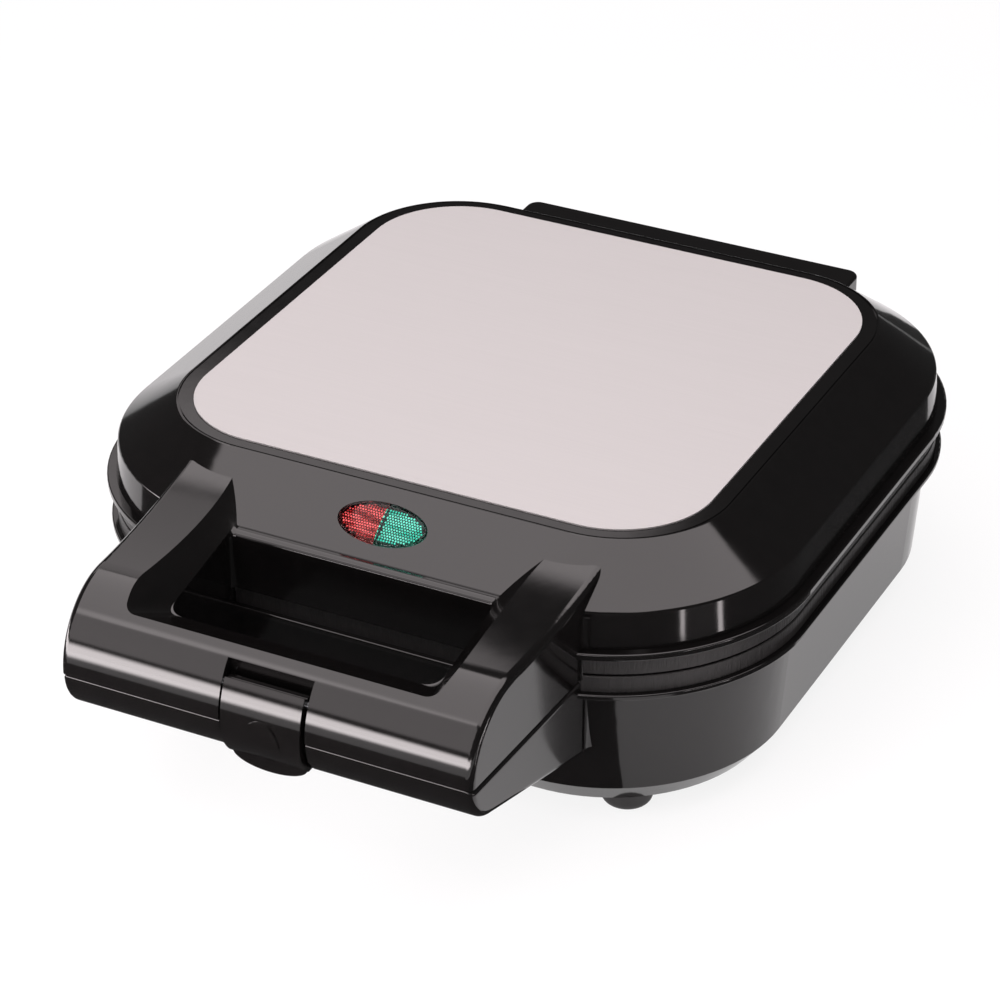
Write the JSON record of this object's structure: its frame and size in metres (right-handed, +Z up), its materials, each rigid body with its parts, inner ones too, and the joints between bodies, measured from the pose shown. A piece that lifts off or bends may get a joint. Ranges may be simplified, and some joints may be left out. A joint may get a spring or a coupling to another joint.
{
  "type": "electric waffle maker",
  "caption": "Hinged black waffle maker with a brushed steel lid plate, U-shaped front grip, latch clip, oval lamp window and ribbed cooking plates.",
  "frame": {"origin": "on the worktop, under the middle of the closed appliance's box", "axes": "+Z up, the grip towards -Y and the hinge towards +Y, left and right along X"},
  "size_m": [0.2216, 0.2902, 0.087],
  "materials": {
    "black_shell_plastic": "polished black moulding",
    "brushed_steel_plate": "fine satin brushed sheet",
    "red_lens": "clear red moulding with a prismatic back",
    "green_lens": "clear green moulding with a prismatic back",
    "cast_nonstick": "matt black non-stick coat on cast aluminium",
    "heater_steel": "dull steel tube",
    "shield_aluminium": "plain bright sheet",
    "zinc_steel": "zinc plated",
    "black_moulded_plastic": "plain moulding",
    "lamp_glass": "clear glass",
    "white_plastic": "plain moulding",
    "black_rubber": "plain rubber"
  },
  "bodies": {
    "base": {"lower_shell": "black_shell_plastic", "lower_handle": "black_shell_plastic", "feet": "black_rubber", "lower_cooking_plate": "cast_nonstick", "lower_heating_element": "heater_steel", "lower_reflector": "shield_aluminium", "lower_plate_screws": "zinc_steel", "lower_handle_screws": "zinc_steel", "thermostat": "black_moulded_plastic", "terminal_block": "white_plastic", "cord_gland": "black_rubber", "hinge_pins": "zinc_steel"},
    "lid": {"upper_shell": "black_shell_plastic", "top_plate": "brushed_steel_plate", "upper_handle": "black_shell_plastic", "indicator_lens_red": "red_lens", "indicator_lens_green": "green_lens", "lamp_holder": "black_moulded_plastic", "indicator_lamps": "lamp_glass", "upper_cooking_plate": "cast_nonstick", "upper_heating_element": "heater_steel", "upper_reflector": "shield_aluminium", "upper_plate_screws": "zinc_steel", "upper_handle_screws": "zinc_steel", "thermal_fuse": "zinc_steel", "fuse_strap": "zinc_steel", "latch_pin": "zinc_steel"},
    "latch": {"handle_latch": "black_shell_plastic"}
  },
  "joints": [
    {"name": "lid_hinge", "type": "hinge", "parent": "base", "child": "lid", "pos_m": [0, 0.13958, 0.0541], "axis": [-1, 0, 0], "range_deg": [0, 100]},
    {"name": "latch_pivot", "type": "hinge", "parent": "lid", "child": "latch", "pos_m": [0, -0.13883, 0.062], "axis": [-1, 0, 0], "range_deg": [0, 35]}
  ]
}
